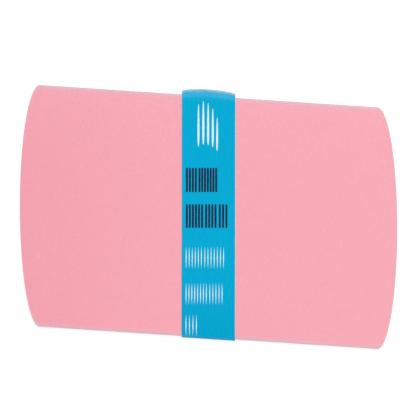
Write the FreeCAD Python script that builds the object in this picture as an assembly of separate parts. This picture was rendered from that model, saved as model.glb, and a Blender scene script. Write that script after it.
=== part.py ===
import FreeCAD, Part

import math
import os

from FreeCAD import Vector

# Emery board: a laminated nail file with half-round ends, in a folded paper band.
# Millimetres. +X runs along the file and +Z up through its thickness. The origin lies under the middle
# of the band, at the height of the surface that the band rests on.

# File
board_length = 180.0
board_width = 19.0
core_thickness = 0.60
adhesive_thickness = 0.05
film_thickness = 0.075
grit_thickness = 0.10
# The die that cuts the file out of its sheet rolls the rims of the two grit coats over
grit_rim_share = 0.4

# Paper band
band_width = 25.6
paper_thickness = 0.10
lap_length = 8.0
# Play between the band and the file's faces, and past its two long edges
face_play = 0.06
snug_side_play = 0.06
loose_side_play = 0.25
# The loose fold stands out further at the middle of the band than at its two cut sides
fold_crown = 0.18
# How round the folds are, against the roundest that would still clear the file's corners
fold_round_share = 0.7
# The outer end of the strip steps down to pass under the inner end
step_run = 1.0
step_clearance = 0.3
step_bend_radius = 0.5
# How far stretches of the strip run into each other before they are joined
joining_overrun = 0.5

# Glue between the two ends of the strip
glue_thickness = 0.03
glue_margin = 1.0

# Places that follow from the sizes above
facing_thickness = adhesive_thickness + film_thickness + grit_thickness
board_thickness = core_thickness + 2 * facing_thickness
board_half_width = board_width / 2
band_half_width = band_width / 2
band_inner_height = board_thickness + 2 * face_play
inner_end_z = paper_thickness + glue_thickness
board_z = inner_end_z + paper_thickness + face_play
band_top_z = board_z + board_thickness + face_play


def file_outline(z):
    """The file's outline at height z: two straight edges and two half-round ends."""
    straight = board_length / 2 - board_half_width
    right_far = Vector(straight, board_half_width, z)
    right_near = Vector(straight, -board_half_width, z)
    left_far = Vector(-straight, board_half_width, z)
    left_near = Vector(-straight, -board_half_width, z)
    right_tip = Vector(board_length / 2, 0, z)
    left_tip = Vector(-board_length / 2, 0, z)
    return Part.Wire([
        Part.LineSegment(left_near, right_near).toShape(),
        Part.Arc(right_near, right_tip, right_far).toShape(),
        Part.LineSegment(right_far, left_far).toShape(),
        Part.Arc(left_far, left_tip, left_near).toShape(),
    ])


def rolled_rim(coat, outward):
    """A grit coat with its outer rim rolled over; outward is 1 for the top coat and -1 for the bottom."""
    outer_face = max(coat.Faces, key=lambda face: face.CenterOfMass.z * outward)
    return coat.makeFillet(grit_thickness * grit_rim_share, outer_face.Edges)


def file_layers():
    """The seven layers of the file, from the table up."""
    sheets = [
        ("bottom_grit_coat", grit_thickness),
        ("bottom_polyester_film", film_thickness),
        ("bottom_adhesive_film", adhesive_thickness),
        ("core_board", core_thickness),
        ("top_adhesive_film", adhesive_thickness),
        ("top_polyester_film", film_thickness),
        ("top_grit_coat", grit_thickness),
    ]
    layers = {}
    z = board_z
    for name, thickness in sheets:
        layers[name] = Part.Face(file_outline(z)).extrude(Vector(0, 0, thickness))
        z += thickness
    layers["bottom_grit_coat"] = rolled_rim(layers["bottom_grit_coat"], -1)
    layers["top_grit_coat"] = rolled_rim(layers["top_grit_coat"], 1)
    return layers


def fold_radius(side_play):
    """Middle-line radius of a fold whose inside clears the file's square corner.

    The roundest such fold, or half the band's inner height where that is less, is eased by its share.
    """
    clears_corner = side_play + face_play + math.sqrt(2 * side_play * face_play)
    inner_radius = fold_round_share * min(clears_corner, band_inner_height / 2)
    return inner_radius + paper_thickness / 2


def strip_face(x, bends):
    """Cross-section of the paper strip, in the plane at x, folded at each bend.

    A bend is a corner of the strip's middle line, as (y, z, radius). The first and last are the strip's
    cut ends and have no radius.
    """
    points = [Vector(x, y, z) for y, z, radius in bends]
    radii = [radius for y, z, radius in bends]
    runs = [(after - before).normalize() for before, after in zip(points, points[1:])]
    along_file = Vector(1, 0, 0)
    sides = {1: [], -1: []}
    for side, edges in sides.items():
        offset = side * paper_thickness / 2
        start = points[0] + along_file.cross(runs[0]) * offset
        for corner, radius, run, next_run in zip(points[1:-1], radii[1:-1], runs, runs[1:]):
            turn = run.getAngle(next_run)
            hand = 1 if along_file.dot(run.cross(next_run)) > 0 else -1
            centre = corner - run * radius * math.tan(turn / 2) + along_file.cross(run) * radius * hand
            side_radius = radius - offset * hand
            begin = centre - along_file.cross(run) * side_radius * hand
            end = centre - along_file.cross(next_run) * side_radius * hand
            middle = centre + (begin + end - centre * 2).normalize() * side_radius
            edges.append(Part.LineSegment(start, begin).toShape())
            edges.append(Part.Arc(begin, middle, end).toShape())
            start = end
        last = points[-1] + along_file.cross(runs[-1]) * offset
        edges.append(Part.LineSegment(start, last).toShape())
    first_cut = Part.LineSegment(sides[-1][0].firstVertex().Point, sides[1][0].firstVertex().Point)
    last_cut = Part.LineSegment(sides[1][-1].lastVertex().Point, sides[-1][-1].lastVertex().Point)
    loop = [first_cut.toShape()] + sides[1] + [last_cut.toShape()] + sides[-1][::-1]
    return Part.Face(Part.Wire(loop))


def straight_strip(bends):
    """A stretch of the strip whose section is the same all the way across the band."""
    return strip_face(-band_half_width, bends).extrude(Vector(band_width, 0, 0))


def loose_fold(root_y, low_z, high_z):
    """The loose fold, with its flats back to root_y.

    In plan it bows outwards, on an arc through its places at the middle and at the two cut sides.
    """
    radius = fold_radius(loose_side_play)
    fold_y = board_half_width + loose_side_play + fold_crown + paper_thickness / 2
    section = strip_face(0, [
        (root_y - joining_overrun, low_z, 0),
        (fold_y, low_z, radius),
        (fold_y, high_z, radius),
        (root_y - joining_overrun, high_z, 0),
    ])
    bow_radius = (band_half_width ** 2 + fold_crown ** 2) / (2 * fold_crown)
    bow_centre = Vector(0, fold_y - bow_radius, 0)
    bow_angle = math.degrees(math.atan2(band_width, bow_radius))
    up = Vector(0, 0, 1)
    section.rotate(bow_centre, up, -bow_angle)
    bowed = section.revolve(bow_centre, up, bow_angle * 2)
    corner = Vector(-band_half_width, 0, 0)
    between_cuts = Part.makeBox(band_width, board_width, band_top_z + board_thickness, corner)
    return bowed.common(between_cuts)


def paper_band():
    """The strip: its inner end, the loose fold, the printed face, the snug fold and the outer end."""
    half_paper = paper_thickness / 2
    low_z = inner_end_z + half_paper
    high_z = band_top_z + half_paper
    root_y = board_half_width - band_inner_height
    snug_y = -board_half_width - snug_side_play - half_paper
    snug_radius = fold_radius(snug_side_play)
    step_y = -lap_length / 2 - step_clearance
    inner_end = straight_strip([
        (-lap_length / 2, low_z, 0),
        (root_y, low_z, 0),
    ])
    face_and_outer_end = straight_strip([
        (root_y, high_z, 0),
        (snug_y, high_z, snug_radius),
        (snug_y, low_z, snug_radius),
        (step_y - step_run, low_z, step_bend_radius),
        (step_y, half_paper, step_bend_radius),
        (lap_length / 2, half_paper, 0),
    ])
    fold = loose_fold(root_y, low_z, high_z)
    return inner_end.fuse([fold, face_and_outer_end]).removeSplitter()


def band_glue():
    """The glue between the strip's two ends."""
    length = band_width - 2 * glue_margin
    width = lap_length - 2 * glue_margin
    corner = Vector(-length / 2, -width / 2, paper_thickness)
    return Part.makeBox(length, width, glue_thickness, corner)


def main():
    os.makedirs("parts", exist_ok=True)
    pieces = file_layers()
    pieces["paper_band"] = paper_band()
    pieces["band_glue"] = band_glue()
    for name, shape in pieces.items():
        print(f"{name}: valid {shape.isValid()}, {len(shape.Solids)} solid, {shape.Volume:.3f} mm3")
        shape.exportStep(f"parts/{name}.step")


main()
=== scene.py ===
import math
import random

import bmesh
import bpy
from mathutils import Matrix, Vector, noise


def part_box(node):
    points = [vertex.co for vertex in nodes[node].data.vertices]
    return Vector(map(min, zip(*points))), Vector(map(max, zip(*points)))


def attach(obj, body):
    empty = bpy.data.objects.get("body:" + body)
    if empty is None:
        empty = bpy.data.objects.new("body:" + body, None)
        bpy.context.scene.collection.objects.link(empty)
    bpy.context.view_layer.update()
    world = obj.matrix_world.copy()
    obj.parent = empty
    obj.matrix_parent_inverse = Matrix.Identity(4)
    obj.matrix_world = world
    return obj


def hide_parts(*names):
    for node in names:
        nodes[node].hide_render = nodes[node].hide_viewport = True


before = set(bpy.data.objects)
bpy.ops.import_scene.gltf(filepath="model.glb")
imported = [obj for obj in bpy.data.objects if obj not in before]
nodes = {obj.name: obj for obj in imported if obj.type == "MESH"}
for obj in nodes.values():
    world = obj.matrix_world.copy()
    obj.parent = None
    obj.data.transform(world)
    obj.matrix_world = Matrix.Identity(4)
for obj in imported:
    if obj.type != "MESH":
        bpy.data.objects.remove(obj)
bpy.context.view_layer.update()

# Emery board: a long nail file with two pink grit faces, in a printed blue paper band that slides along it.
# +X runs along the file, +Y across it towards the band's loose fold, and +Z up out of the printed face.
mm = 0.001
scene = bpy.context.scene
print("frame loaded:", len(nodes), "nodes")


def addObject(name, data):
    made = bpy.data.objects.new(name, data)
    scene.collection.objects.link(made)
    return made


# Camera
# The photograph is squeezed along the file: its half-round ends are six times too narrow. So this camera
# looks straight down and stretches its picture upwards by as much. The file keeps its true shape, and the
# other views, which place the camera afresh, show it unsqueezed.
cameraSettings = {
    "pictureWidth": 200.2 * mm,
    "picturePixels": 420,
    "squeeze": 6.063,
    "turn": math.radians(0.625),
    "filePixel": (208.6, 216.9),  # where the middle of the file lies in the picture
    "height": 0.5,
}


def makeCamera(settings):
    turn = settings["turn"]
    squeeze = settings["squeeze"]
    right = Vector((math.cos(turn), math.sin(turn), 0))
    across = Vector((-math.sin(turn), math.cos(turn), 0))
    back = Vector((0, 0, 1))
    # an up axis that leans out of the table stretches the picture, and the view stays straight down
    up = across / squeeze + back * math.sqrt(1 - 1 / squeeze ** 2)
    perPixel = settings["pictureWidth"] / settings["picturePixels"]
    middle = settings["picturePixels"] / 2
    offRight = (settings["filePixel"][0] - middle) * perPixel
    offUp = (middle - settings["filePixel"][1]) * perPixel / squeeze
    place = back * settings["height"] - right * offRight - across * offUp
    stretch = Matrix.Identity(4)
    for column, vector in enumerate((right, up, back, place)):
        for row in range(3):
            stretch[row][column] = vector[row]
    camera = addObject("camera", bpy.data.cameras.new("camera"))
    camera.data.type = "ORTHO"
    camera.data.ortho_scale = settings["pictureWidth"]
    camera.parent = addObject("cameraRig", None)
    camera.matrix_parent_inverse = stretch
    scene.camera = camera


makeCamera(cameraSettings)
scene.view_settings.view_transform = "Standard"
print("camera made")


# Helpers for the materials
def rgb(red, green, blue):
    # a colour as a screen shows it, from 0 to 255, made linear for Blender's sockets
    shares = [part / 255 for part in (red, green, blue)]
    parts = [share / 12.92 if share <= 0.04045 else ((share + 0.055) / 1.055) ** 2.4 for share in shares]
    return (*parts, 1)


def addNode(tree, kind, sockets=None, **options):
    node = tree.nodes.new(kind)
    for option, value in options.items():
        setattr(node, option, value)
    for socket, value in (sockets or {}).items():
        if isinstance(value, bpy.types.NodeSocket):
            tree.links.new(value, node.inputs[socket])
        else:
            node.inputs[socket].default_value = value
    return node


def startMaterial(name, **sockets):
    material = bpy.data.materials.new(name)
    material.use_nodes = True
    tree = material.node_tree
    shader = tree.nodes["Principled BSDF"]
    for socket, value in sockets.items():
        shader.inputs[socket.replace("_", " ")].default_value = value
    place = addNode(tree, "ShaderNodeTexCoord").outputs["Object"]
    return material, tree, shader, place


def finishSurface(tree, shader, colour, roughness, height, relief):
    # what varies over a surface; relief is how deep its bump goes
    bump = addNode(tree, "ShaderNodeBump", {"Height": height, "Distance": relief}).outputs["Normal"]
    for socket, value in (("Base Color", colour), ("Roughness", roughness), ("Normal", bump)):
        tree.links.new(value, shader.inputs[socket])


def noiseOf(tree, place, size, detail=2, stretch=(1, 1, 1)):
    # noise with features of about this size, longer along an axis with a smaller stretch
    mapped = addNode(tree, "ShaderNodeMapping", {"Vector": place, "Scale": stretch}).outputs["Vector"]
    sockets = {"Vector": mapped, "Scale": 1 / size, "Detail": detail, "Roughness": 0.55}
    return addNode(tree, "ShaderNodeTexNoise", sockets).outputs["Fac"]


def cellsOf(tree, place, size):
    # one random value for each cell of about this size
    cells = addNode(tree, "ShaderNodeTexVoronoi", {"Vector": place, "Scale": 1 / size})
    return addNode(tree, "ShaderNodeSeparateColor", {"Color": cells.outputs["Color"]}).outputs["Red"]


def seamsOf(tree, place, size):
    # how far inside its cell a point lies, as a share of the size
    sockets = {"Vector": place, "Scale": 1 / size}
    return addNode(tree, "ShaderNodeTexVoronoi", sockets, feature="DISTANCE_TO_EDGE").outputs["Distance"]


def worked(tree, operation, first, second):
    return addNode(tree, "ShaderNodeMath", {0: first, 1: second}, operation=operation).outputs[0]


def axisOf(tree, place, axis):
    return addNode(tree, "ShaderNodeSeparateXYZ", {"Vector": place}).outputs[axis]


def ranged(tree, value, low, high, newLow, newHigh, smooth=False):
    sockets = {"Value": value, "From Min": low, "From Max": high, "To Min": newLow, "To Max": newHigh}
    kind = "SMOOTHSTEP" if smooth else "LINEAR"
    return addNode(tree, "ShaderNodeMapRange", sockets, interpolation_type=kind).outputs["Result"]


def mixed(tree, share, first, second):
    return addNode(tree, "ShaderNodeMix", {0: share, 6: first, 7: second}, data_type="RGBA").outputs[2]


def tinted(tree, colour, value, start, end, strength, tint, smooth=False):
    # the colour turns towards the tint as the value goes from start to end
    return mixed(tree, ranged(tree, value, start, end, 0, strength, smooth), colour, tint)


def inFromOutline(tree, place, straight, halfWidth):
    # how far a point lies inside an outline with half-round ends, whose middle line runs along X
    past = worked(tree, "SUBTRACT", worked(tree, "ABSOLUTE", axisOf(tree, place, "X"), 0), straight)
    sockets = {"X": worked(tree, "MAXIMUM", past, 0), "Y": axisOf(tree, place, "Y")}
    arm = addNode(tree, "ShaderNodeCombineXYZ", sockets).outputs["Vector"]
    reach = addNode(tree, "ShaderNodeVectorMath", {0: arm}, operation="LENGTH").outputs["Value"]
    return worked(tree, "SUBTRACT", halfWidth, reach)


# Studio
studioSettings = {
    # how bright the world is at these heights above the horizon, with the part overhead kept dark, and by
    # how much on its near and its far side
    "dome": [(0.0, 0.36), (0.34, 0.48), (0.50, 1.02), (0.88, 1.02), (0.92, 0.02)],
    "domeNear": 0.90,
    "domeFar": 1.05,
    # each light's share of the whole on a level surface, where 1 shows colours as written
    "lights": {
        "keyLight": {"share": 0.19, "place": (0.68, 0.24, 0.84), "size": (0.5, 0.5)},
        "sideLight": {"share": 0.13, "place": (0.02, 0.32, 0.34), "size": (0.6, 0.30)},
    },
    "floorColour": rgb(206, 207, 209),
    "floorVariation": 1.03,
    "floorPatch": 60 * mm,
    "floorGlow": 0.66,
    "floorHalf": 10.0,
    "floorDrop": 0.01 * mm,
}


def makeWorld(settings):
    world = bpy.data.worlds.new("studio")
    world.use_nodes = True
    scene.world = world
    tree = world.node_tree
    background = tree.nodes["Background"]
    direction = addNode(tree, "ShaderNodeTexCoord").outputs["Generated"]
    parts = addNode(tree, "ShaderNodeSeparateXYZ", {"Vector": direction}).outputs
    ramp = addNode(tree, "ShaderNodeValToRGB", {"Fac": parts["Z"]})
    stops = ramp.color_ramp.elements
    while len(stops) < len(settings["dome"]):
        stops.new(1.0)
    for stop, (height, level) in zip(stops, settings["dome"]):
        stop.position = height
        stop.color = (level, level, level, 1)
    side = ranged(tree, parts["Y"], -1, 1, settings["domeNear"], settings["domeFar"])
    dome = worked(tree, "MULTIPLY", ramp.outputs["Color"], side)
    seen = addNode(tree, "ShaderNodeLightPath").outputs["Is Camera Ray"]
    strength = addNode(tree, "ShaderNodeMix", {0: seen, 2: dome, 3: 1.0}).outputs[0]
    tree.links.new(strength, background.inputs["Strength"])
    background.inputs["Color"].default_value = (1, 1, 1, 1)


def makeLight(name, share, place, size):
    place = Vector(place)
    light = addObject(name, bpy.data.lights.new(name, "AREA"))
    light.location = place
    light.rotation_euler = (-place).to_track_quat("-Z", "Y").to_euler()
    light.visible_camera = False
    light.data.shape = "RECTANGLE"
    light.data.size, light.data.size_y = size
    # the light gives power / pi / distance^2 straight ahead, and a level surface lies at a slant to it
    slant = place.z / place.length
    light.data.energy = share * math.pi * math.pi * place.length ** 2 / slant


def makeFloor(settings):
    floor = addObject("floor", bpy.data.meshes.new("floor"))
    sheet = bmesh.new()
    bmesh.ops.create_grid(sheet, x_segments=1, y_segments=1, size=settings["floorHalf"])
    bmesh.ops.translate(sheet, verts=sheet.verts, vec=(0, 0, -settings["floorDrop"]))
    sheet.to_mesh(floor.data)
    sheet.free()
    material, tree, shader, place = startMaterial("paleFloor", Roughness=0.9, Specular_IOR_Level=0.2)
    shade = settings["floorColour"]
    paler = tuple(min(1.0, part * settings["floorVariation"]) for part in shade)
    colour = mixed(tree, noiseOf(tree, place, settings["floorPatch"]), shade, paler)
    tree.links.new(colour, shader.inputs["Base Color"])
    # the floor glows up to white where it is seen or mirrored, and adds no light to the object
    path = addNode(tree, "ShaderNodeLightPath").outputs
    seen = worked(tree, "MAXIMUM", path["Is Camera Ray"], path["Is Glossy Ray"])
    seen = worked(tree, "MAXIMUM", seen, path["Is Transmission Ray"])
    glow = worked(tree, "MULTIPLY", seen, settings["floorGlow"])
    shader.inputs["Emission Color"].default_value = (1, 1, 1, 1)
    tree.links.new(glow, shader.inputs["Emission Strength"])
    floor.data.materials.append(material)


makeWorld(studioSettings)
for lightName, lightSettings in studioSettings["lights"].items():
    makeLight(lightName, **lightSettings)
makeFloor(studioSettings)
print("studio made")


def finishPiece(name, mesh, materials, body, replaced=None):
    piece = addObject(name, bpy.data.meshes.new(name))
    mesh.to_mesh(piece.data)
    mesh.free()
    for material in materials:
        piece.data.materials.append(material)
    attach(piece, body)
    if replaced:
        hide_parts(replaced)
    print(name, "made:", len(piece.data.polygons), "faces")


# Grit coats
gritSettings = {
    # the flat face's grid, and how far its points stray sideways and in height
    "columns": 820,
    "rows": 84,
    "stray": 0.05 * mm,
    "unevenness": 0.002 * mm,
    "seed": 7,
    # the die rolls the rim over: in mm, how far in from the outline each ring lies and how far down it is
    "rim": [(0.22, 0.0), (0.14, 0.004), (0.08, 0.014), (0.03, 0.033), (0.0, 0.062)],
    # the resin, cloudy all over
    "resin": (rgb(253, 167, 181), rgb(255, 171, 185)),
    "cloudSize": 9 * mm,
    # painted light and shade along and across the coat, deeper towards -X, paler towards +X and the +Y edge:
    # axis, start, end, strength, colour, and whether it eases in
    "drifts": [
        ("X", -20 * mm, -80 * mm, 1, rgb(251, 160, 176), True),
        ("X", -40 * mm, 50 * mm, 1, rgb(248, 170, 181), False),
        ("Y", 3 * mm, 9.5 * mm, 0.36, rgb(255, 177, 191), False),
        ("Y", 7.9 * mm, 9.3 * mm, 0.18, rgb(248, 190, 203), False),
    ],
    # grains of slightly different pinks with deeper seams between them, and a few pale and dark specks:
    # start, end, strength and colour of each change
    "grainSize": 0.08 * mm,
    "grains": (0, 1, 0.44, rgb(255, 205, 213)),
    "seams": (0.22, 0.02, 0.5, rgb(243, 136, 156)),
    "speckSize": 0.26 * mm,
    "specks": [
        (0.9995, 0.9997, 0.33, rgb(255, 222, 226)),
        (0.0006, 0.0004, 0.15, rgb(205, 120, 140)),
    ],
    # each grain is rounded up to here from its seam, and the lowest ones stand this share as high
    "grainShoulder": 0.35,
    "lowestGrain": 0.3,
    "relief": 0.014 * mm,
    "roughness": (0.50, 0.95),
    # painted shade: the coat is painted duller and greyer along its rolled rim, in patches
    "rimShadeFrom": 0.38 * mm,
    "rimShadeTo": 0.04 * mm,
    "patchSize": 0.5 * mm,
    "patches": (0.3, 0.7, 0.6, 1),
    "rimShade": rgb(228, 187, 198),
}


def gritMaterial(coatHigh, settings):
    material, tree, shader, place = startMaterial("pinkGrit")
    colour = mixed(tree, noiseOf(tree, place, settings["cloudSize"], 3), *settings["resin"])
    # painted light and shade: deeper towards the -X end, paler towards +X and towards the +Y edge
    for axis, *change in settings["drifts"]:
        colour = tinted(tree, colour, axisOf(tree, place, axis), *change)

    grain = cellsOf(tree, place, settings["grainSize"])
    inside = seamsOf(tree, place, settings["grainSize"])
    colour = tinted(tree, colour, grain, *settings["grains"])
    colour = tinted(tree, colour, inside, *settings["seams"])
    speck = cellsOf(tree, place, settings["speckSize"])
    for change in settings["specks"]:
        colour = tinted(tree, colour, speck, *change)

    # painted shade along the rolled rim, in patches
    inward = inFromOutline(tree, place, coatHigh.x - coatHigh.y, coatHigh.y)
    rim = ranged(tree, inward, settings["rimShadeFrom"], settings["rimShadeTo"], 0, 1, True)
    patches = ranged(tree, noiseOf(tree, place, settings["patchSize"]), *settings["patches"])
    colour = mixed(tree, worked(tree, "MULTIPLY", rim, patches), colour, settings["rimShade"])

    rounded = ranged(tree, inside, 0, settings["grainShoulder"], 0, 1)
    height = worked(tree, "MULTIPLY", rounded, ranged(tree, grain, 0, 1, settings["lowestGrain"], 1))
    roughness = ranged(tree, grain, 0, 1, *settings["roughness"])
    finishSurface(tree, shader, colour, roughness, height, settings["relief"])
    return material


def flatFace(straight, halfWidth, height, draw, settings):
    # a grid drawn out along the file, whose square end blocks are rounded into the half-round ends
    coat = bmesh.new()
    bmesh.ops.create_grid(coat, x_segments=settings["columns"], y_segments=settings["rows"], size=1)
    for vert in coat.verts:
        along = vert.co.x * (straight + halfWidth)
        share = vert.co.y
        past = max(0.0, abs(along) - straight) / halfWidth
        x = min(abs(along), straight) + halfWidth * past * math.sqrt(1 - share ** 2 / 2)
        y = halfWidth * share * math.sqrt(1 - past ** 2 / 2)
        vert.co = (math.copysign(x, along), y, height)
    stray = settings["stray"]
    for vert in coat.verts:
        if not vert.is_boundary:
            vert.co.x += draw.uniform(-stray, stray)
            vert.co.y += draw.uniform(-stray, stray)
            vert.co.z += draw.gauss(0, settings["unevenness"])
    return coat


def rollRim(coat, straight, halfWidth, thickness, settings):
    # ring after ring is drawn out from the face's edge and down to the underside, which closes the coat
    edges = [edge for edge in coat.edges if edge.is_boundary]
    rings = settings["rim"] + [(0.0, thickness / mm)]
    for (inset, drop), (nextInset, nextDrop) in zip(rings, rings[1:]):
        made = bmesh.ops.extrude_edge_only(coat, edges=edges)["geom"]
        outward = (halfWidth - nextInset * mm) / (halfWidth - inset * mm)
        for vert in made:
            if isinstance(vert, bmesh.types.BMVert):
                middle = max(-straight, min(straight, vert.co.x))
                vert.co.x = middle + (vert.co.x - middle) * outward
                vert.co.y *= outward
                vert.co.z = thickness - nextDrop * mm
        edges = [edge for edge in made if isinstance(edge, bmesh.types.BMEdge) and edge.is_boundary]
    bmesh.ops.edgeloop_fill(coat, edges=edges)


def gritCoat(name, node, facesUp, material, settings):
    low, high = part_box(node)
    halfWidth = high.y
    straight = high.x - halfWidth
    thickness = high.z - low.z
    flatHalf = halfWidth - settings["rim"][0][0] * mm
    coat = flatFace(straight, flatHalf, thickness, random.Random(settings["seed"] + facesUp), settings)
    rollRim(coat, straight, halfWidth, thickness, settings)
    if not facesUp:
        turnOver = Matrix.Rotation(math.pi, 3, "X")
        bmesh.ops.rotate(coat, verts=coat.verts, cent=(0, 0, thickness / 2), matrix=turnOver)
    bmesh.ops.translate(coat, verts=coat.verts, vec=(0, 0, low.z))
    bmesh.ops.recalc_face_normals(coat, faces=coat.faces)
    finishPiece(name, coat, [material], "file", node)


pinkGrit = gritMaterial(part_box("top_grit_coat")[1], gritSettings)
gritCoat("topGritCoat", "top_grit_coat", True, pinkGrit, gritSettings)
gritCoat("bottomGritCoat", "bottom_grit_coat", False, pinkGrit, gritSettings)


# Core, films, adhesive and glue keep their solids
layerSettings = {
    "corePlastic": {
        "nodes": ["core_board"],
        "colours": (rgb(240, 232, 230), rgb(222, 208, 206)),
        "roughness": (0.45, 0.65),
        "streakSize": 0.12 * mm,
        "relief": 0.02 * mm,
        "coat": 0.0,
    },
    "adhesive": {
        "nodes": ["top_adhesive_film", "bottom_adhesive_film"],
        "colours": (rgb(232, 220, 206), rgb(214, 198, 182)),
        "roughness": (0.5, 0.7),
        "streakSize": 0.2 * mm,
        "relief": 0.01 * mm,
        "coat": 0.0,
    },
    "polyesterFilm": {
        "nodes": ["top_polyester_film", "bottom_polyester_film"],
        "colours": (rgb(238, 180, 190), rgb(226, 160, 172)),
        "roughness": (0.18, 0.38),
        "streakSize": 0.3 * mm,
        "relief": 0.004 * mm,
        "coat": 0.3,
    },
    "driedGlue": {
        "nodes": ["band_glue"],
        "colours": (rgb(244, 240, 228), rgb(226, 216, 196)),
        "roughness": (0.3, 0.5),
        "streakSize": 0.6 * mm,
        "relief": 0.02 * mm,
        "coat": 0.0,
    },
}


def layerMaterial(name, settings):
    material, tree, shader, place = startMaterial(name, Coat_Weight=settings["coat"])
    plain, deeper = settings["colours"]
    colour = mixed(tree, noiseOf(tree, place, 4 * mm), plain, deeper)
    # the die leaves upright streaks on the cut edge
    streaks = noiseOf(tree, place, settings["streakSize"], 4, stretch=(1, 1, 0.06))
    colour = tinted(tree, colour, streaks, 0.35, 0.7, 0.35, deeper)
    roughness = ranged(tree, streaks, 0.2, 0.8, *settings["roughness"])
    finishSurface(tree, shader, colour, roughness, streaks, settings["relief"])
    return material


for layerName, layer in layerSettings.items():
    layerFinish = layerMaterial(layerName, layer)
    for nodeName in layer["nodes"]:
        nodeMesh = nodes[nodeName].data
        nodeMesh.materials.clear()
        nodeMesh.materials.append(layerFinish)
print("layers finished")


# Paper band
bandSettings = {
    "thickness": 0.10 * mm,
    "inkHeight": 0.01 * mm,
    "columns": 50,
    "sharpAngle": math.radians(50),
    # the strip's outer face in section: the inner end, the two folds, and the outer end's step down
    "innerEndStart": -4.0 * mm,
    "innerEndHeight": 0.13 * mm,
    "looseRoot": 8.85 * mm,  # where the loose fold starts
    "snugRadius": 0.243 * mm,
    "snugIn": 0.05 * mm,  # how far the snug fold stays inside the solid's
    "stepStart": -5.3 * mm,
    "stepEnd": -4.3 * mm,
    "outerEnd": 4.0 * mm,
    # the loose fold in plan: its place at the cut sides, its bow, and how far and how sharply its corners
    # draw back
    "looseSide": 9.85 * mm,
    "crown": 0.18 * mm,
    "softCorner": 0.06 * mm,
    "cornerPower": 12,
    # how full the loose fold's section is, where 2 is an ellipse
    "fullness": 2.5,
    # the printed face's unevenness: how deep, over what distance, from which part of the noise, and how
    # close to the folds it reaches
    "sag": 0.035 * mm,
    "sagSize": 7 * mm,
    "sagPlace": (3.1, 7.7, 0.4),
    "sagPower": 4,
    # the printed face, with paler fibres
    "blues": (rgb(0, 170, 213), rgb(0, 176, 220)),
    "cloudSize": 5 * mm,
    "fibreSize": 0.25 * mm,
    "fibres": (0.55, 0.8, 0.04, rgb(60, 190, 226)),
    "relief": 0.004 * mm,
    "glossPatch": 0.8 * mm,
    "roughness": (0.20, 0.30),
    # painted shade: the blue is painted a little darker towards the snug fold, away from the light
    "deeper": (-4 * mm, -9 * mm, 0.7, rgb(0, 163, 207)),
    # painted sheen: the blue is painted pale grey along the loose fold, in patches, where it catches the
    # light
    "foldSheenFrom": 0.70,
    "foldSheenStrength": 0.95,
    "sheenPatchSize": 0.45 * mm,
    "sheenPatches": (0.38, 0.62, 0.45, 1),
    "foldSheen": rgb(168, 198, 206),
    # the print stops a hair short of one cut side
    "bareSide": (0.16 * mm, 0.10 * mm, 1, rgb(236, 238, 244)),
    # the paper inside and at its cuts
    "whites": (rgb(226, 226, 228), rgb(246, 246, 248)),
    "bareFibreSize": 0.12 * mm,
    "bareRelief": 0.01 * mm,
    "bareRoughness": (0.75, 0.95),
}

bandLow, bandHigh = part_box("paper_band")
bandTop = bandHigh.z - bandSettings["inkHeight"]
bandHalf = bandHigh.x


def sagAt(x, y, settings):
    # the paper lies a little unevenly on the grit, and is held up by it near the folds
    place = Vector((x, y, 0)) / settings["sagSize"] + Vector(settings["sagPlace"])
    hold = 1 - min(1.0, abs(y) / settings["looseRoot"]) ** settings["sagPower"]
    return settings["sag"] * (0.5 + 0.5 * noise.noise(place)) * hold


def frontAt(x, settings):
    # the loose fold bows outwards, and its two corners are a little soft
    share = abs(x / bandHalf)
    bow = settings["crown"] * (1 - share ** 2)
    return settings["looseSide"] + bow - settings["softCorner"] * share ** settings["cornerPower"]


def paperTop(x, y, settings):
    top = bandTop - sagAt(x, y, settings)
    root = settings["looseRoot"]
    if y <= root:
        return top
    halfHeight = (bandTop - settings["innerEndHeight"]) / 2
    share = min(1.0, (y - root) / (frontAt(x, settings) - root))
    fullness = settings["fullness"]
    return top - halfHeight * (1 - (1 - share ** fullness) ** (1 / fullness))


def stripMoves(settings):
    # each move: a run or a turn, its length or angle, the turn's radius, and its steps
    low = settings["innerEndHeight"]
    snugRadius = settings["snugRadius"]
    snugRoot = bandLow.y + settings["snugIn"] + snugRadius
    # the outer end steps down to the table by two equal turns, one against the other
    stepRun = settings["stepEnd"] - settings["stepStart"]
    stepTurn = 2 * math.atan2(low, stepRun)
    stepRadius = stepRun / 2 / math.sin(stepTurn)
    return [
        ("run", settings["looseRoot"] - settings["innerEndStart"], 0, 26),
        ("turn", math.pi, (bandTop - low) / 2, 24),
        ("run", settings["looseRoot"] - snugRoot, 0, 40),
        ("turn", math.pi / 2, snugRadius, 8),
        ("run", bandTop - low - 2 * snugRadius, 0, 3),
        ("turn", math.pi / 2, snugRadius, 8),
        ("run", settings["stepStart"] - snugRoot, 0, 8),
        ("turn", -stepTurn, stepRadius, 4),
        ("turn", stepTurn, stepRadius, 4),
        ("run", settings["outerEnd"] - settings["stepEnd"], 0, 16),
    ]


def foldedStrip(settings):
    # a line of runs and turns, drawn out by spin, which is then spun out into a sheet along the file
    alongFile = (1, 0, 0)
    strip = bmesh.new()
    tip = strip.verts.new((-bandHalf, settings["innerEndStart"], settings["innerEndHeight"]))
    heading = 0.0
    for kind, amount, radius, steps in stripMoves(settings):
        forward = Vector((0, math.cos(heading), math.sin(heading)))
        leftward = Vector((0, -math.sin(heading), math.cos(heading)))
        centre = tip.co + leftward * math.copysign(radius, amount)
        run = forward * amount / steps if kind == "run" else (0, 0, 0)
        turn = amount if kind == "turn" else 0
        made = bmesh.ops.spin(
            strip, geom=[tip], cent=centre, axis=alongFile, dvec=run, angle=turn, steps=steps
        )
        tip = made["geom_last"][0]
        heading += turn
    line = strip.verts[:] + strip.edges[:]
    columns = settings["columns"]
    step = (2 * bandHalf / columns, 0, 0)
    bmesh.ops.spin(strip, geom=line, cent=(0, 0, 0), axis=alongFile, dvec=step, angle=0, steps=columns)
    return strip


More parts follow.
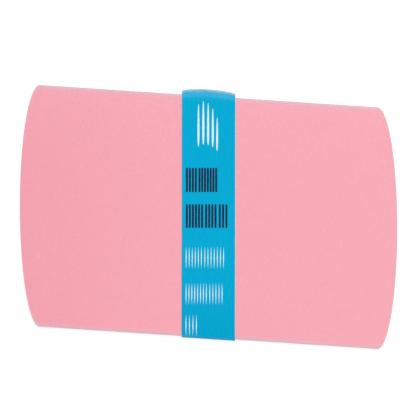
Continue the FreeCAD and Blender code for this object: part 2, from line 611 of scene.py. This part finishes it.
def shapeStrip(strip, settings):
    # the loose fold is made full and bows outwards, and the printed face lies unevenly
    foldLayer = strip.verts.layers.float.new("fold")
    root = settings["looseRoot"]
    radius = (bandTop - settings["innerEndHeight"]) / 2
    middle = bandTop - radius
    power = 2 / settings["fullness"]
    nearly = 0.001 * mm
    for vert in strip.verts:
        x, y, z = vert.co
        if y > root + nearly:
            cosine = min(1.0, (y - root) / radius)
            sine = max(-1.0, min(1.0, (z - middle) / radius))
            vert[foldLayer] = cosine ** power
            y = root + (frontAt(x, settings) - root) * cosine ** power
            z = middle + radius * math.copysign(abs(sine) ** power, sine)
        elif z > bandTop - nearly:
            z -= sagAt(x, y, settings)
        vert.co = (x, y, z)


def thickenStrip(strip, settings):
    # the wall goes inwards from the outer face, which alone is printed
    strip.normal_update()
    topFace = max(strip.faces, key=lambda face: face.calc_center_median().z)
    if topFace.normal.z < 0:
        bmesh.ops.reverse_faces(strip, faces=strip.faces)
    printed = set(strip.faces)
    bmesh.ops.solidify(strip, geom=strip.faces[:], thickness=settings["thickness"])
    for face in strip.faces:
        face.material_index = 0 if face in printed else 1
        face.smooth = True
    for edge in strip.edges:
        kinds = {face.material_index for face in edge.link_faces}
        edge.smooth = len(kinds) == 1 and edge.calc_face_angle(0) <= settings["sharpAngle"]
    strip.normal_update()


def printedPaper(settings):
    material, tree, shader, place = startMaterial(
        "printedPaper", Specular_IOR_Level=0.3, Sheen_Weight=0.35, Sheen_Roughness=0.3
    )
    colour = mixed(tree, noiseOf(tree, place, settings["cloudSize"], 3), *settings["blues"])
    fibres = noiseOf(tree, place, settings["fibreSize"], 4, stretch=(0.3, 1, 1))
    colour = tinted(tree, colour, fibres, *settings["fibres"])
    # painted shade: darker blue towards the snug fold
    colour = tinted(tree, colour, axisOf(tree, place, "Y"), *settings["deeper"])

    # painted sheen: pale grey along the loose fold, in patches
    fold = addNode(tree, "ShaderNodeAttribute", attribute_name="fold").outputs["Fac"]
    sheenPatches = noiseOf(tree, place, settings["sheenPatchSize"], 5, stretch=(0.5, 1, 1))
    sheenPatches = ranged(tree, sheenPatches, *settings["sheenPatches"])
    foldSheen = ranged(tree, fold, settings["foldSheenFrom"], 1, 0, settings["foldSheenStrength"], True)
    colour = mixed(tree, worked(tree, "MULTIPLY", foldSheen, sheenPatches), colour, settings["foldSheen"])

    inward = worked(tree, "SUBTRACT", bandHalf, axisOf(tree, place, "X"))
    colour = tinted(tree, colour, inward, *settings["bareSide"])
    gloss = noiseOf(tree, place, settings["glossPatch"], 3)
    roughness = ranged(tree, gloss, 0.3, 0.7, *settings["roughness"])
    finishSurface(tree, shader, colour, roughness, fibres, settings["relief"])
    return material


def barePaper(settings):
    material, tree, shader, place = startMaterial("barePaper", Specular_IOR_Level=0.3)
    fibres = noiseOf(tree, place, settings["bareFibreSize"], 4, stretch=(0.35, 1, 1))
    colour = mixed(tree, fibres, *settings["whites"])
    roughness = ranged(tree, fibres, 0.3, 0.7, *settings["bareRoughness"])
    finishSurface(tree, shader, colour, roughness, fibres, settings["bareRelief"])
    return material


def makeBand(settings):
    strip = foldedStrip(settings)
    shapeStrip(strip, settings)
    thickenStrip(strip, settings)
    materials = [printedPaper(settings), barePaper(settings)]
    finishPiece("paperBand", strip, materials, "band", "paper_band")


makeBand(bandSettings)


# Print on the band: a plain pattern of nails, bars and slim lozenges
printSettings = {
    "depth": 0.016 * mm,
    # the print is very slightly out of square with the file
    "slope": 0.011,
    # each row in mm: its foot, its head and its groups of marks from left to right
    "darkRows": [
        {"low": 1.95, "high": 3.86, "groups": [(-10.9, -5.6), (-4.9, 4.1)]},
        {"low": -0.87, "high": 1.00, "groups": [(-10.9, -2.6), (-1.7, 3.8), (4.8, 9.0)]},
    ],
    "paleRows": [
        {"low": -4.05, "high": -2.35, "groups": [(-10.9, -3.2), (-2.0, 7.4)]},
        {"low": -6.90, "high": -5.20, "groups": [(-10.9, -0.8), (0.4, 6.7)]},
        {"low": -9.38, "high": -7.70, "groups": [(-10.9, -5.5)]},
    ],
    # upright almond nail shapes in mm: middle in x, middle in y, width and height
    "nails": [
        (-4.9, 7.2, 0.96, 3.3),
        (-2.6, 7.4, 1.0, 3.4),
        (-0.3, 7.3, 0.96, 3.3),
        (1.9, 7.0, 0.92, 3.0),
        (4.0, 6.5, 0.84, 2.6),
    ],
    # each kind of mark: width and gap in mm, how square its outline is, how it narrows upwards, its grid
    "bar": {"width": 1.02, "gap": 0.38, "squareness": 8, "taper": 0, "columns": 2, "rows": 10},
    "lozenge": {"width": 0.44, "gap": 0.99, "squareness": 1.2, "taper": 0, "columns": 2, "rows": 10},
    "nail": {"squareness": 2.2, "taper": 0.25, "columns": 6, "rows": 20},
    "inkPatch": 0.3 * mm,
    "inkRelief": 0.002 * mm,
    "navyInk": {"colours": (rgb(8, 30, 62), rgb(16, 52, 88)), "roughness": (0.32, 0.47)},
    "whiteInk": {"colours": (rgb(236, 250, 255), rgb(206, 238, 250)), "roughness": (0.38, 0.53)},
}


def mark(ink, x, y, width, height, kind):
    # one mark: a grid whose ends are drawn in, almost to a point
    pointed = 0.985
    squareness = kind["squareness"]
    made = bmesh.ops.create_grid(ink, x_segments=kind["columns"], y_segments=kind["rows"], size=1)["verts"]
    for vert in made:
        along = math.sin(vert.co.y * math.pi / 2)
        across = (1 - (abs(along) * pointed) ** squareness) ** (1 / squareness) * (1 - kind["taper"] * along)
        vert.co = Vector((x + vert.co.x * across * width / 2, y + along * height / 2, 0)) * mm


def printRows(ink, rows, kind):
    width = kind["width"]
    for row in rows:
        middle = (row["low"] + row["high"]) / 2
        for left, right in row["groups"]:
            # the gaps give a little, so that each group is filled from end to end
            count = round((right - left + kind["gap"]) / (width + kind["gap"]))
            pitch = (right - left - width) / max(1, count - 1)
            for number in range(count):
                x = left + width / 2 + number * pitch
                mark(ink, x, middle, width, row["high"] - row["low"], kind)


def inkMaterial(name, settings):
    material, tree, shader, place = startMaterial(name, Specular_IOR_Level=0.35)
    blotch = noiseOf(tree, place, settings["inkPatch"], 3)
    colour = mixed(tree, ranged(tree, blotch, 0.3, 0.75, 0, 1), *settings[name]["colours"])
    roughness = ranged(tree, blotch, 0.3, 0.7, *settings[name]["roughness"])
    finishSurface(tree, shader, colour, roughness, blotch, settings["inkRelief"])
    return material


def finishInk(name, ink, material, settings):
    # the marks are laid on the paper and given the ink's depth, part of which is sunk in it
    for vert in ink.verts:
        vert.co.y += vert.co.x * settings["slope"]
        vert.co.z = paperTop(vert.co.x, vert.co.y, bandSettings) + bandSettings["inkHeight"]
    ink.normal_update()
    if ink.faces[:][0].normal.z < 0:
        bmesh.ops.reverse_faces(ink, faces=ink.faces)
    bmesh.ops.solidify(ink, geom=ink.faces[:], thickness=settings["depth"])
    finishPiece(name, ink, [material], "band")


def makePrint(settings):
    ink = bmesh.new()
    printRows(ink, settings["darkRows"], settings["bar"])
    finishInk("darkPrint", ink, inkMaterial("navyInk", settings), settings)

    ink = bmesh.new()
    printRows(ink, settings["paleRows"], settings["lozenge"])
    for x, y, width, height in settings["nails"]:
        mark(ink, x, y, width, height, settings["nail"])
    finishInk("whitePrint", ink, inkMaterial("whiteInk", settings), settings)


makePrint(printSettings)
